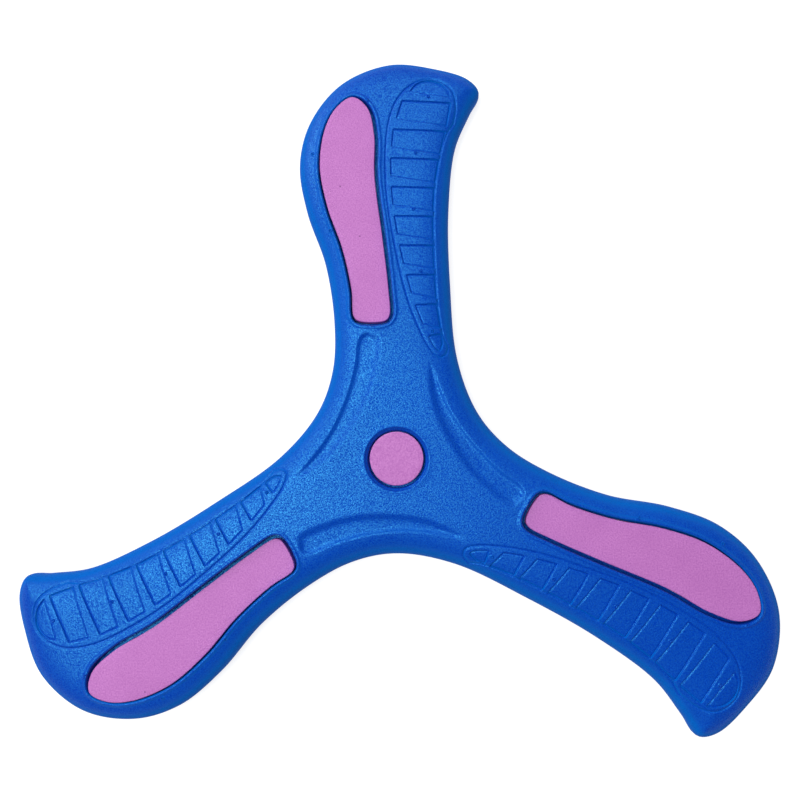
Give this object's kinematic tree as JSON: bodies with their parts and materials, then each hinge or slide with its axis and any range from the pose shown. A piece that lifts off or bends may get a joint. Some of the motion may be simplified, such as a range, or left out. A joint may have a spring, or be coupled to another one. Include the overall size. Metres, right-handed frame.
{
  "type": "boomerang",
  "caption": "Soft moulded foam boomerang with curved wings, ladder relief and glued-in foam pads; flat underside and crowned top.",
  "frame": {"origin": "on the flat underside, at the axis of the hub pad", "axes": "+Z out of the crowned top, +Y along the middle of wing 1; wings 2 and 3 follow clockwise seen from above"},
  "size_m": [0.2524, 0.2285, 0.012],
  "materials": {
    "body_foam": "satin",
    "pad_foam": "matte",
    "adhesive": "matte"
  },
  "bodies": {
    "root": {"foam_body": "body_foam", "wing_pad_1": "pad_foam", "wing_pad_2": "pad_foam", "wing_pad_3": "pad_foam", "hub_pad": "pad_foam", "wing_adhesive_1": "adhesive", "wing_adhesive_2": "adhesive", "wing_adhesive_3": "adhesive", "hub_adhesive": "adhesive"}
  },
  "joints": []
}
